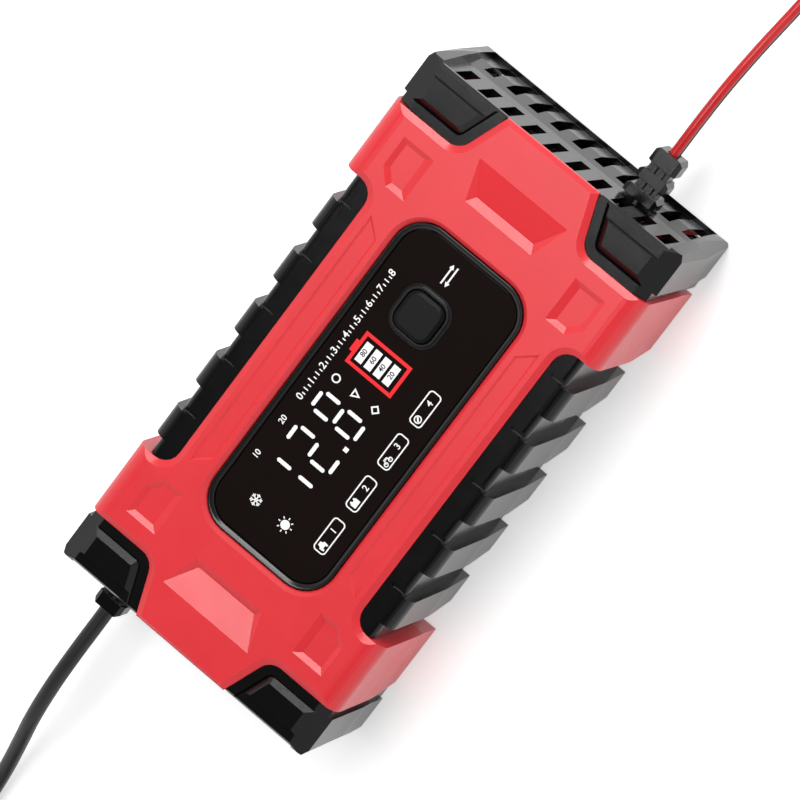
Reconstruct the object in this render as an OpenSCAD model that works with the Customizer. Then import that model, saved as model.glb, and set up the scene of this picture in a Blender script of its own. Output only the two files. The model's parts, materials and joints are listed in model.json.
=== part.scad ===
// Car battery charger: a red two-part case with black end caps and side grips,
// a display panel with one mode button, a fan behind a slotted end, a mains lead
// with its plug and a twin output lead with two crocodile clamps.
// X runs along the case towards the slotted end, Z is up, and the origin is the
// middle of the footprint. Millimetres.

/* [Case] */
// Length of the red cover
case_l = 200; // [190:1:240]
// Width over the side lugs
case_w = 103; // [100:1:120]
// Height of the red top face above the floor
case_h = 62; // [60:1:74]
// Wall of the covers
wall = 2.4; // [2:0.1:3]
// Radius along the upper side edges
edge_r = 7; // [5:0.5:8]
// Height of the widest line of the sides
waist_z = 26; // [20:1:30]
// How far the foot of the sides draws in below the waist
foot_in = 0.9; // [0:0.1:2]
// Height of the rubber feet under the case
foot_h = 1.2; // [0.8:0.1:3]
// Diameter of the rubber feet
foot_d = 11; // [8:0.5:14]
// Gap between neighbouring shells
gap = 0.3; // [0.2:0.05:0.5]
// Visible seam between the red cover and the black parts
seam = 0.2; // [0.15:0.05:0.4]

/* [Ends and grips] */
// Length of an end cap on top of the case
ear_l = 17.6; // [15:0.2:22]
// Half width of the red tongue at the very end
tongue_end = 18.4; // [16:0.2:21]
// Half width of the red tongue where it begins
tongue_root = 24.9; // [23:0.2:28]
// Length of the opening for a side grip
grip_l = 112; // [104:1:118]
// Half width of the red top between the grips
grip_y = 38.3; // [36.5:0.2:40]
// Distance from one grip rib to the next
rib_pitch = 21.05; // [20:0.05:21.5]
// Length of a grip rib
rib_l = 11; // [8:0.5:13]
// Number of ribs on each grip
rib_n = 5; // [3:1:5]
// How far a rib stands out
rib_h = 3; // [1.5:0.5:3.5]
// How far the black parts lie below the red top face
inlay_drop = 1.5; // [1:0.1:2]

/* [Vent] */
// Slots in each row
slot_n = 10; // [6:1:10]
// Distance from one slot to the next
slot_pitch = 8.98; // [8.5:0.02:9.4]
// Width of a slot
slot_w = 4.1; // [3:0.1:5]
// How far the rows of slots lie off the middle
slot_mid = -1.6; // [-2:0.1:2]
// Sideways lean of a slot over its height
slot_lean = 0.05; // [0:0.01:0.08]
// Thickness of the slotted plate
plate_t = 2.2; // [1.6:0.1:2.6]
// Size of the square fan
fan_size = 35; // [34:0.5:40]
// Thickness of the fan
fan_t = 10; // [8:0.5:11]

/* [Panel] */
// Length of the panel frame
panel_l = 120; // [116:1:122]
// Width of the panel frame
panel_w = 49.2; // [47:0.2:51]
// Corner radius of the panel frame
panel_r = 11.5; // [8:0.5:14]
// Width of the frame around the lens
frame_w = 1.9; // [1.4:0.1:2.5]
// Thickness of the lens
lens_t = 1.6; // [1:0.1:2]
// Place of the mode button along the case
btn_x = 33.9; // [28:0.1:38]
// Place of the mode button across the case
btn_y = 3.2; // [0:0.1:6]
// Width of the button cap
btn_w = 14.2; // [12:0.2:15]
// Travel of the button
btn_travel = 0.8; // [0.4:0.1:1]

/* [Boards] */
// Length of the main board
pcb_l = 150; // [140:1:156]
// Width of the main board
pcb_w = 64; // [60:1:66]
// Thickness of the boards
pcb_t = 1.6; // [1:0.1:2]
// Height of the main board's underside above the floor
pcb_z = 9; // [8:0.5:12]
// Diameter of the input capacitor
cap_in_d = 22; // [18:1:24]
// Length of the input capacitor
cap_in_l = 30; // [24:1:32]
// Diameter of the output capacitors
cap_out_d = 13; // [10:1:14]
// Length of the output capacitors
cap_out_l = 25; // [20:1:28]
// Width of the transformer core
core_w = 33; // [28:1:35]
// Height of the transformer core
core_h = 28; // [24:1:30]

/* [Leads] */
// Diameter of the mains lead
mains_d = 5.3; // [5:0.1:6]
// How far the mains lead lies in from the side of the case
mains_in = 18.5; // [17.5:0.1:20.5]
// Diameter of one core of the output lead
core_d = 3.2; // [3:0.1:3.4]
// How far the output lead lies in from the other side of the case
out_in = 27.1; // [25.5:0.1:29.5]
// Height of both leads above the floor where they leave the case
lead_z = 31; // [28:0.5:34]
// Length of the output lead's strain relief outside the case
relief_l = 18.6; // [17:0.2:20]
// Length of the mains lead's strain relief outside the case
mains_relief_l = 14.6; // [13:0.2:17]
// Length of the plug pins
pin_l = 19; // [17:0.5:20]
// Diameter of the plug pins
pin_d = 4; // [3.8:0.1:4.2]
// Distance between the plug pins
pin_gap = 18.6; // [17.5:0.1:19]

/* [Clamps] */
// Length of a crocodile clamp
clamp_l = 76; // [70:1:82]
// Width of a clamp jaw
clamp_w = 12; // [10:0.5:13]
// Diameter of the clamp's hinge pin
clamp_pin_d = 3; // [2.5:0.1:3.4]
// Widest opening of a clamp in degrees
clamp_open = 26; // [18:1:26]

/* [Hidden] */
$fn = 48;

// --- colours ---
RED = [0.86, 0.13, 0.15];
BLACK = [0.07, 0.07, 0.075];
GREY = [0.32, 0.32, 0.33];
STEEL = [0.72, 0.73, 0.75];
BOARD = [0.06, 0.30, 0.16];

// --- case levels and half sizes ---
hx = case_l / 2;
hy = case_w / 2;
top = case_h;
deck = top - 3;
roof_z = deck - wall;
core_x = hx - 3.5;
side_y = hy - 7.3;
in_y = side_y - wall;
ear_x = hx - ear_l;
gx = grip_l / 2;
inlay_z = top - inlay_drop;
end_bulge = 2;
plate_x = core_x + gap;
bevel_w = 2.2;
bevel_h = inlay_drop - 0.2;
mains_y = hy - mains_in;
out_y = out_in - hy;
far = 400;

// --- outline helpers ---
function unit(v) = v / norm(v);
function cross2(a, b) = a[0] * b[1] - a[1] * b[0];
// One corner of an outline, rounded to radius r by n chords
function corner(a, p, b, r, n) =
  r <= 0 ? [p] :
  let (u = unit(a - p), v = unit(b - p), half = acos(max(-1, min(1, u * v))) / 2,
    d = r / tan(half), c = p + unit(u + v) * r / sin(half), s = p + u * d - c, e = p + v * d - c,
    a0 = atan2(s[1], s[0]), da = atan2(cross2(s, e), s * e))
  [for (i = [0:n]) c + r * [cos(a0 + da * i / n), sin(a0 + da * i / n)]];
// An outline of [x, y, radius] points with its corners rounded
function rounded(p, n = 6) =
  [for (i = [0:len(p) - 1]) let (m = len(p), a = p[(i + m - 1) % m], c = p[i], b = p[(i + 1) % m])
    each corner([a[0], a[1]], [c[0], c[1]], [b[0], b[1]], c[2], n)];
// A counter-clockwise outline moved inwards by d, point by point
function inset(p, d) =
  [for (i = [0:len(p) - 1]) let (m = len(p), a = p[(i + m - 1) % m], c = p[i], b = p[(i + 1) % m],
    u = unit(c - a), v = unit(b - c), n0 = [-u[1], u[0]], n1 = [-v[1], v[0]], h = unit(n0 + n1))
    c + h * d / max(0.4, h * n0)];
function box_pts(lx, ly, r) =
  [[lx, -ly, r], [lx, ly, r], [-lx, ly, r], [-lx, -ly, r]];

// --- shape helpers ---
// A solid between outline a at height z0 and outline b at height z1
module frustum(a, b, z0, z1) {
  n = len(a);
  pts = concat([for (p = a) [p[0], p[1], z0]], [for (p = b) [p[0], p[1], z1]]);
  sides = [for (i = [0:n - 1]) each [[i, n + (i + 1) % n, (i + 1) % n], [i, n + i, n + (i + 1) % n]]];
  polyhedron(pts, concat([[for (i = [0:n - 1]) i]], [[for (i = [n - 1:-1:0]) n + i]], sides));
}
// A Y-Z outline drawn out along X, and an X-Z outline drawn out along Y
module along_x(p, x0 = -far, x1 = far) {
  translate([x0, 0, 0]) rotate([90, 0, 90]) linear_extrude(height = x1 - x0) polygon(p);
}
module along_y(p, y0 = -far, y1 = far) {
  translate([0, y1, 0]) rotate([90, 0, 0]) linear_extrude(height = y1 - y0) polygon(p);
}
module prism(p, z0, z1) {
  translate([0, 0, z0]) linear_extrude(height = z1 - z0) polygon(p);
}
module block(x0, x1, y0, y1, z0, z1) {
  translate([x0, y0, z0]) cube([x1 - x0, y1 - y0, z1 - z0]);
}
module rod(d, x, y, z0, z1) {
  translate([x, y, z0]) cylinder(d = d, h = z1 - z0);
}
module rod_x(d, x0, x1, y, z) {
  translate([x0, y, z]) rotate([0, 90, 0]) cylinder(d = d, h = x1 - x0);
}
module both_sides() {
  children();
  mirror([0, 1, 0]) children();
}
module four_corners(x, y) {
  for (sx = [-1, 1]) {
    for (sy = [-1, 1]) {
      translate([sx * x, sy * y, 0]) children();
    }
  }
}

// --- the outer form shared by cover, caps and grips ---
// Section across the case: foot, waist, upper side and a round edge
function side_section(w, z, r = edge_r) =
  let (arc_n = 8, cy = w - 0.3 - r, cz = z - r)
  let (right = concat([[w - foot_in, foot_h], [w, waist_z]],
    [for (i = [0:arc_n]) [cy + r * cos(90 * i / arc_n), cz + r * sin(90 * i / arc_n)]]))
  concat(right, [for (i = [len(right) - 1:-1:0]) [-right[i][0], right[i][1]]]);
// Section along the case: both ends swell to the waist
function end_section(l, z) =
  [[-l + 1.4, foot_h], [l - 1.4, foot_h], [l + end_bulge, waist_z], [l + 0.2, z - 1.6], [l - 1.2, z],
    [-l + 1.2, z], [-l - 0.2, z - 1.6], [-l - end_bulge, waist_z]];

// --- openings of the red cover for the grips and the end caps, counter-clockwise ---
corner_r = 6;
ear_lean = (tongue_root - tongue_end) / ear_l;
grip_plan = rounded([[gx, grip_y, corner_r], [gx, hy + 20, 0], [-gx, hy + 20, 0],
  [-gx, grip_y, corner_r]], 5);
ear_plan = rounded([[ear_x, tongue_root, corner_r], [ear_x + 40, tongue_root - 40 * ear_lean, 0],
  [ear_x + 40, hy + 20, 0], [ear_x, hy + 20, 0]], 5);
frame_plan = rounded(box_pts(panel_l / 2, panel_w / 2, panel_r), 8);
hole_plan = inset(frame_plan, -gap);
ledge_plan = inset(frame_plan, 1.6);
ledge_z = top - 4.4;

// --- fixing points ---
post_x = core_x - 18;
post_y = in_y - 4.7;
pcb_post_x = pcb_l / 2 - 8;
pcb_post_y = pcb_w / 2 - 4.5;
disp_l = panel_l - 4;
disp_w = panel_w + 16;
disp_z = roof_z - 8;
disp_post_x = disp_l / 2 - 6;
disp_post_y = disp_w / 2 - 3.6;
foot_x = hx - 20;
foot_y = in_y - 18;

// --- top cover ---
// A pocket whose floor slopes down towards the panel, between side walls that lean out
module end_pocket() {
  far_x = hx - 14.8;
  near_x = hx - 28.2;
  depth = 1.8;
  intersection() {
    along_y([[far_x + 1.8, top + 0.3], [near_x - 0.5, top + 0.3], [near_x + 2.8, top - depth]]);
    frustum([[far_x + 2, -13.8], [far_x + 2, 13.8], [near_x - 2, 8.2], [near_x - 2, -8.2]],
      [[far_x + 2, -19.8], [far_x + 2, 19.8], [near_x - 2, 14.2], [near_x - 2, -14.2]], top - 3, top + 1);
  }
}
// A shallow five-sided pocket in each corner of the red top
module corner_pocket() {
  x1 = hx - 24.6;
  x0 = hx - 40.8;
  plan = [[x1, 28.5], [x1, 40.8], [x1 - 11.3, 40.8], [x0, 36.3], [x0, 28.5]];
  wide = inset(plan, -0.3);
  floor_plan = [for (p = inset(plan, 1.9)) [p[0], max(p[1], 31.4)]];
  frustum(floor_plan, wide, top - 1.2, top + 0.24);
}
// A long shallow channel beside the panel
module side_channel() {
  plan = [[-44, 28.2], [44, 28.2], [49.5, 34.4], [-49.5, 34.4]];
  frustum(inset(plan, 0.7), inset(plan, -0.2), top - 0.6, top + 0.2);
}
// An opening with a bevelled upper edge
module bevelled(plan) {
  over = 0.1;
  prism(plan, -1, top - bevel_h + 0.001);
  frustum(plan, inset(plan, -bevel_w * (bevel_h + over) / bevel_h), top - bevel_h, top + over);
}
module cover_form() {
  difference() {
    block(-hx - 5, hx + 5, -hy - 5, hy + 5, foot_h, top);
    both_sides() {
      bevelled(grip_plan);
      bevelled(ear_plan);
      mirror([1, 0, 0]) bevelled(ear_plan);
    }
  }
  block(-core_x, core_x, -side_y, side_y, foot_h, deck);
}
module top_cover() {
  color(RED) {
    difference() {
      intersection() {
        cover_form();
        along_x(side_section(hy, top));
        along_y(end_section(hx, top));
      }
      block(-far, far, -in_y, in_y, -1, roof_z);
      for (s = [-1, 1]) {
        lug_mid = s * (gx + ear_x) / 2;
        lug_half = (ear_x - gx) / 2;
        block(s > 0 ? core_x : -far, s > 0 ? far : -core_x, -far, far, -1, deck);
        block(lug_mid - lug_half + wall, lug_mid + lug_half - wall, -hy + wall + 1, hy - wall - 1,
          -1, roof_z - 5);
        for (t = [-1, 1]) {
          along_y([[lug_mid + t * (lug_half + 1), -1], [lug_mid + t * (lug_half - 2), -1],
            [lug_mid + t * (lug_half - 2), foot_h], [lug_mid + t * lug_half, waist_z - 6],
            [lug_mid + t * (lug_half + 1), waist_z - 6]], side_y, far);
          along_y([[lug_mid + t * (lug_half + 1), -1], [lug_mid + t * (lug_half - 2), -1],
            [lug_mid + t * (lug_half - 2), foot_h], [lug_mid + t * lug_half, waist_z - 6],
            [lug_mid + t * (lug_half + 1), waist_z - 6]], -far, -side_y);
        }
      }
      frustum(hole_plan, inset(hole_plan, -1.6), top - 1.5, top + 0.1);
      prism(hole_plan, ledge_z, top + 1);
      prism(ledge_plan, roof_z - 1, top);
      end_pocket();
      mirror([1, 0, 0]) end_pocket();
      four_pockets();
      both_sides() side_channel();
    }
    four_corners(post_x, post_y) difference() {
      translate([0, 0, 20 + gap]) cylinder(d = 8, h = roof_z - 20 - gap);
      translate([0, 0, 19]) cylinder(d = 2.9, h = 20);
    }
    four_corners(disp_post_x, disp_post_y) difference() {
      translate([0, 0, disp_z + pcb_t]) cylinder(d = 5, h = roof_z - disp_z - pcb_t);
      translate([0, 0, disp_z]) cylinder(d = 2.1, h = 7);
    }
  }
}
module four_pockets() {
  corner_pocket();
  mirror([1, 0, 0]) corner_pocket();
  mirror([0, 1, 0]) corner_pocket();
  mirror([1, 0, 0]) mirror([0, 1, 0]) corner_pocket();
}

// --- bottom cover ---
floor_t = wall;
floor_top = foot_h + floor_t;
module bottom_cover() {
  color(BLACK) difference() {
    union() {
      block(-core_x + 0.5, core_x - 0.5, -in_y + gap, in_y - gap, foot_h, floor_top);
      difference() {
        block(-core_x + 1, core_x - 1, -in_y + gap, in_y - gap, foot_h, floor_top + 3);
        block(-far, far, -in_y + gap + 1.6, in_y - gap - 1.6, foot_h, floor_top + 4);
      }
      four_corners(post_x, post_y) rod(8, 0, 0, foot_h, 20);
      four_corners(pcb_post_x, pcb_post_y) rod(6, 0, 0, foot_h, pcb_z);
    }
    four_corners(post_x, post_y) {
      rod(3.4, 0, 0, 0, 21);
      rod(6.4, 0, 0, 0, foot_h + 2.6);
    }
    four_corners(pcb_post_x, pcb_post_y) rod(2.1, 0, 0, floor_top, pcb_z + 1);
    four_corners(foot_x, foot_y) rod(foot_d + 0.4, 0, 0, 0, foot_h + 0.8);
    for (i = [-6:6]) {
      block(i * 7 - 1, i * 7 + 1, -12, 12, 0, floor_top + 1);
    }
  }
}

// --- end caps ---
// The ear's own section: a broad slope runs from the pad's top down to the side
function ear_section() =
  [[0, foot_h], [hy - foot_in, foot_h], [hy, waist_z], [hy - 0.4, top - 5.6], [hy - 8.2, top - 0.2],
    [0, top - 0.2]];
// A flat base with a raised pad, which a narrow groove divides from the base
module ear_form() {
  pad_plan = inset(ear_plan, 3.3);
  groove_z = inlay_z - 0.8;
  difference() {
    intersection() {
      block(ear_x, far, side_y - 25, hy - 1.8, foot_h, inlay_z);
      along_x(side_section(hy, top));
      along_x(ear_section());
    }
    prism(pad_plan, groove_z, top);
  }
  intersection() {
    union() {
      prism(pad_plan, foot_h, groove_z + 0.01);
      frustum(pad_plan, inset(ear_plan, 5.8), groove_z, top - 0.2);
    }
    along_x(ear_section());
    // the pad's rear wall draws in towards the foot
    along_y([[ear_x + 3.2, top], [ear_x + 3.2, waist_z - 7], [ear_x + 5, foot_h], [far, foot_h],
      [far, top]]);
  }
}
rim_y = hy - 5.6;
lip_z = deck - gap - 1.2;
module cap_shell() {
  intersection() {
    difference() {
      union() {
        both_sides() difference() {
          intersection() {
            ear_form();
            prism(inset(ear_plan, seam), 0, far);
          }
          // the end plate stands behind the ears and the side rims
          block(plate_x - 1, far, 0, rim_y, -1, lip_z);
          block(hx + 0.2, far, 0, rim_y, -1, far);
        }
        children();
      }
      block(-far, plate_x, -side_y - gap, side_y + gap, -1, deck + gap);
    }
    along_y(cap_section());
    union() {
      frustum(corner_plan(1.6, 6.5, -1.8), corner_plan(2.5, 4.6, -2.4), foot_h, waist_z + 10);
      prism(corner_plan(2.5, 4.6, -2.4), waist_z + 9.99, far);
    }
  }
}
// The cap's outline from above: its corners run from x, y in from the side, to x2 on the side
function corner_plan(x, y, x2) =
  [[0, -hy - 0.1], [hx + x2, -hy - 0.1], [hx + (x + x2) * 0.5 + 1.1, -hy + y * 0.35], [hx + x, -hy + y],
    [hx + x, hy - y], [hx + (x + x2) * 0.5 + 1.1, hy - y * 0.35], [hx + x2, hy + 0.1], [0, hy + 0.1]];
// The cap's own end outline: a low strip runs between the ears' pads and the end
function cap_section() =
  [[0, foot_h], [hx + 0.4, foot_h], [hx + 1.2, foot_h + 3.2], [hx + end_bulge + 0.2, waist_z - 10],
    [hx + end_bulge, waist_z + 10], [hx + 0.9, deck - 1], [hx - 0.8, inlay_z],
    [hx - 3.9, inlay_z], [hx - 4.7, top - 0.2], [0, top - 0.2]];
ridge_z = 32;
strip_z = 20;
// Outer face of the slotted plate from its head to its foot, and the same face moved in by t
function plate_face(t = 0) =
  [[core_x + 2.8 - t, deck - gap], [core_x + 2.9 - t, ridge_z], [core_x + 3.9 - t, strip_z],
    [core_x + 2.6 - t, foot_h]];
function reversed(p) = [for (i = [len(p) - 1:-1:0]) p[i]];
// One slot: it leans a little to the side
module slot(y, z0, z1) {
  lean0 = slot_lean * (z0 - fan_z);
  lean1 = slot_lean * (z1 - fan_z);
  along_x([[y + lean0 - slot_w / 2, z0], [y + lean0 + slot_w / 2, z0], [y + lean1 + slot_w / 2, z1],
    [y + lean1 - slot_w / 2, z1]], 0, far);
}
sill_h = 2;
module vent_plate() {
  y_in = rim_y;
  difference() {
    along_y(concat(plate_face(), reversed(plate_face(plate_t))), -y_in - 1, y_in + 1);
    for (i = [0:slot_n - 1]) {
      y = slot_mid + (i - (slot_n - 1) / 2) * slot_pitch;
      slot(y, ridge_z + 6.6, top - 6);
      slot(y, foot_h + sill_h, ridge_z - 4.5);
    }
    rod_x(9.4, 0, far, out_y, lead_z);
  }
  // lip along the top and the sill along the bottom
  block(plate_x, hx - 0.2, -y_in, y_in, deck - gap - 1, deck - gap);
  block(plate_x, hx + 1.4, -y_in - 1, y_in + 1, foot_h, foot_h + sill_h - 0.4);
  for (t = [-1, 1]) {
    for (u = [-1, 1]) {
      rod_x(3.7, plate_x - 0.5, hx - 1, fan_y + t * fan_hole, fan_z + u * fan_hole);
    }
  }
}
// The end's side walls, standing proud of the plate
ledge_y = in_y - 6;
module end_rim() {
  both_sides() difference() {
    intersection() {
      block(core_x, far, rim_y, far, foot_h, inlay_z);
      along_x(side_section(hy, top));
      along_x(ear_section());
    }
    block(0, far, -far, 0, 0, far);
  }
}
module vent_end_cap() {
  color(BLACK) difference() {
    union() {
      cap_shell() {
        vent_plate();
        end_rim();
      }
      // a ledge that covers the joint with the bottom cover
      block(core_x - 4, core_x + 1.6, -ledge_y, ledge_y, floor_top + gap, floor_top + gap + 1.2);
    }
    rod_x(9.4, 0, far, out_y, lead_z);
    for (t = [-1, 1]) {
      for (u = [-1, 1]) {
        rod_x(2.3, plate_x - 1, hx - 1.6, fan_y + t * fan_hole, fan_z + u * fan_hole);
      }
    }
  }
}
module mains_end_cap() {
  color(BLACK) mirror([1, 0, 0]) difference() {
    cap_shell() {
      block(plate_x, core_x + 2.6, -rim_y - 1, rim_y + 1, foot_h, deck - gap);
      block(plate_x, hx + 0.2, -rim_y, rim_y, lip_z, deck - gap);
      block(plate_x, hx + 1.2, -rim_y, rim_y, foot_h, foot_h + 3);
      end_rim();
    }
    rod_x(9.4, 0, far, mains_y, lead_z);
  }
}

// --- side grips ---
function rib_x(i) = (i - (rib_n - 1) / 2) * rib_pitch - 2.4;
// One rib seen from the side: its lower rear corner is cut back
function rib_outline(x) =
  [[x + rib_l / 2 + 2, foot_h], [x + rib_l / 2, top], [x - rib_l / 2, top], [x - rib_l / 2, 20],
    [x - rib_l / 2 + 2.6, foot_h]];
module grip() {
  base_w = hy - rib_h - 1.8;
  base_top = inlay_z;
  difference() {
    intersection() {
      prism(inset(grip_plan, seam), foot_h, base_top);
      union() {
        along_x(side_section(base_w, base_top, 2.5));
        intersection() {
          along_x(side_section(hy - 1.8, base_top, 5));
          union() {
            for (i = [0:rib_n - 1]) {
              along_y(rib_outline(rib_x(i)));
            }
          }
        }
      }
    }
    block(-far, far, -far, side_y + gap, -1, deck + gap);
    // grooves that lead across the top to the front of each rib
    for (i = [0:rib_n - 1]) {
      x = rib_x(i) + rib_l / 2 + 1.6;
      block(x - 0.7, x + 0.7, grip_y + 3.2, far, base_top - 0.7, far);
      rod(1.8, x, grip_y + 3.2, base_top - 0.7, far);
    }
  }
}
module left_grip() {
  color(BLACK) grip();
}
module right_grip() {
  color(BLACK) mirror([0, 1, 0]) grip();
}

// --- panel ---
lens_plan = inset(frame_plan, frame_w + 0.3);
lens_z = top - 1.9;
module panel_frame() {
  color(GREY) difference() {
    prism(frame_plan, ledge_z + 0.02, top - 0.9);
    prism(inset(frame_plan, frame_w), lens_z - lens_t - 0.1, top);
    prism(inset(frame_plan, frame_w + 1.5), ledge_z - 1, top);
    frustum(inset(frame_plan, frame_w), inset(frame_plan, 0.7), lens_z + 0.3, top - 0.88);
  }
}
collar_w = btn_w + 4.6;
module panel_lens() {
  color([0.03, 0.03, 0.035]) difference() {
    prism(lens_plan, lens_z - lens_t, lens_z);
    translate([btn_x, btn_y, 0]) prism(rounded(box_pts(btn_w / 2 + 0.9, btn_w / 2 + 0.9, 4.9), 6), 0, far);
  }
}
module button_collar() {
  color([0.10, 0.10, 0.105]) translate([btn_x, btn_y, 0]) difference() {
    union() {
      prism(rounded(box_pts(btn_w / 2 + 0.8, btn_w / 2 + 0.8, 4.8), 6), lens_z - lens_t - 1, lens_z + 0.5);
      frustum(rounded(box_pts(collar_w / 2, collar_w / 2, 6.5), 6),
        rounded(box_pts(collar_w / 2 - 0.9, collar_w / 2 - 0.9, 5.6), 6), lens_z + 0.02, lens_z + 0.9);
    }
    prism(rounded(box_pts(btn_w / 2 + 0.2, btn_w / 2 + 0.2, 4.2), 6), 0, far);
  }
}
btn_top = lens_z + 1.9;
switch_z = disp_z + pcb_t;
switch_h = 3.6;
module mode_button() {
  color([0.14, 0.14, 0.15]) translate([btn_x, btn_y, 0]) {
    cap_plan = rounded(box_pts(btn_w / 2, btn_w / 2, 4), 6);
    prism(cap_plan, lens_z - lens_t - 0.4, btn_top - 0.7);
    frustum(cap_plan, inset(cap_plan, 0.8), btn_top - 0.7, btn_top);
    rod(4, 0, 0, switch_z + switch_h + plunger_up, lens_z - lens_t);
  }
}
// The plunger stands out of the switch by the button's travel and a little more
plunger_up = btn_travel + 0.4;
plunger_in = 1.2;
module switch_plunger() {
  color([0.75, 0.74, 0.70]) translate([btn_x, btn_y, 0])
    rod(3.2, 0, 0, switch_z + switch_h - plunger_in, switch_z + switch_h + plunger_up);
}
module tact_switch() {
  color(STEEL) translate([btn_x, btn_y, 0]) difference() {
    block(-3, 3, -3, 3, switch_z + 0.02, switch_z + switch_h);
    rod(3.6, 0, 0, switch_z + switch_h - plunger_in - btn_travel - 0.2, far);
  }
}
module display_module() {
  z1 = lens_z - lens_t - 0.3;
  x0 = 10 - panel_l / 2;
  color([0.85, 0.85, 0.83]) difference() {
    block(x0, btn_x - 10.9, 4.1 - panel_w / 2, panel_w / 2 - 4.6, switch_z + 0.02, z1);
    // light wells of the three figures
    for (x = [x0 + 13.5, x0 + 27, x0 + 40.5]) {
      for (y = [-3.5, 6.5]) {
        block(x - 2.5, x + 2.5, y - 3, y + 3, z1 - 3, far);
      }
    }
  }
}
module display_board() {
  color(BOARD) difference() {
    block(-disp_l / 2, disp_l / 2, -disp_w / 2, disp_w / 2, disp_z, disp_z + pcb_t - 0.02);
    four_corners(disp_post_x, disp_post_y) rod(2.6, 0, 0, 0, far);
  }
}
module screw(d, head_d, head_t, l, cross_d) {
  difference() {
    union() {
      cylinder(d = head_d, h = head_t);
      cylinder(d = d, h = l);
    }
    translate([0, 0, -0.1]) cylinder(d = cross_d, h = head_t * 0.6, $fn = 6);
  }
}
module display_screws() {
  color(STEEL) four_corners(disp_post_x, disp_post_y)
    translate([0, 0, disp_z - 1.6]) screw(1.9, 4, 1.58, 6.4, 1.6);
}

// --- main board and what stands on it ---
pcb_top = pcb_z + pcb_t;
on_board = pcb_top + 0.02;
module main_board() {
  color(BOARD) difference() {
    block(-pcb_l / 2, pcb_l / 2, -pcb_w / 2, pcb_w / 2, pcb_z + 0.02, pcb_top);
    four_corners(pcb_post_x, pcb_post_y) rod(2.6, 0, 0, 0, far);
  }
}
module board_screws() {
  color(STEEL) four_corners(pcb_post_x, pcb_post_y)
    translate([0, 0, pcb_top + 1.62]) mirror([0, 0, 1]) screw(1.9, 4.2, 1.6, 7, 1.7);
}
core_x0 = -14;
core_y0 = -4;
winding_d = core_w * 0.62;
module transformer_core() {
  color([0.20, 0.20, 0.21]) translate([core_x0, core_y0, on_board]) difference() {
    block(-core_w / 2, core_w / 2, -8, 8, 0, core_h);
    difference() {
      block(-core_w / 2 + 5, core_w / 2 - 5, -9, 9, 4, core_h - 4);
      rod(8, 0, 0, 0, core_h);
    }
  }
}
module transformer_winding() {
  color([0.72, 0.40, 0.16]) translate([core_x0, core_y0, on_board]) difference() {
    union() {
      rod(winding_d, 0, 0, 5.2, core_h - 5.2);
      rod(core_w - 10.8, 0, 0, 4.2, 5.2);
      rod(core_w - 10.8, 0, 0, core_h - 5.2, core_h - 4.2);
    }
    rod(8.4, 0, 0, 0, core_h);
  }
}
module input_capacitor() {
  color([0.12, 0.14, 0.30]) translate([-58, 12, on_board]) {
    rod(cap_in_d, 0, 0, 0, cap_in_l);
  }
}
module output_capacitors() {
  color([0.10, 0.10, 0.12]) for (i = [0:1]) {
    rod(cap_out_d, 44 + i * (cap_out_d + 2), 18, on_board, on_board + cap_out_l);
  }
}
sink_l = pcb_l * 0.3733;
sink_h = core_h - 1;
sink_y = pcb_w / 2 - 5.5;
fin_pitch = (sink_l - 2.8) / 7;
module heatsink() {
  color([0.66, 0.67, 0.69]) translate([32 - sink_l, sink_y, on_board]) {
    block(0, sink_l, -1.5, 1.5, 0, sink_h);
    for (i = [0:7]) {
      block(1 + i * fin_pitch, 2.6 + i * fin_pitch, 1.4, 5, 0, sink_h);
    }
  }
}
module power_transistors() {
  color([0.08, 0.08, 0.08]) for (x = [-14, 2, 18]) {
    translate([x, sink_y - 2.1, on_board]) difference() {
      block(-5, 5, -2.4, 0.58, 5, 21);
      translate([0, 1, 18]) rotate([90, 0, 0]) cylinder(d = 3.4, h = 6);
    }
    for (t = [-2.5, 0, 2.5]) {
      block(x + t - 0.4, x + t + 0.4, sink_y - 3.5, sink_y - 2.9, on_board, on_board + 5.1);
    }
  }
}
module bridge_rectifier() {
  color([0.08, 0.08, 0.08]) translate([-38, -20, on_board]) {
    block(-10, 10, -1.8, 1.8, 4, 19);
    for (t = [-7.5, -2.5, 2.5, 7.5]) {
      block(t - 0.5, t + 0.5, -0.4, 0.4, 0, 4);
    }
  }
}
module choke() {
  color([0.70, 0.55, 0.12]) translate([24, -14, on_board + 6]) {
    rotate_extrude() translate([8.5, 0]) circle(d = 8);
    rod(3, 8.5, 0, -6, 0);
    rod(3, -8.5, 0, -6, 0);
  }
}
module relay() {
  color([0.15, 0.30, 0.62]) block(50, 69, -24, -9, on_board, on_board + 16);
}
module fuse() {
  color([0.80, 0.80, 0.76]) translate([-60, -18, on_board]) {
    rod_x(5, -10, 10, 0, 5.2);
    for (x = [-8, 8]) {
      block(x - 2, x + 2, -3.2, 3.2, 0, 3.6);
    }
  }
}

// --- fan ---
fan_z = 31;
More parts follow.
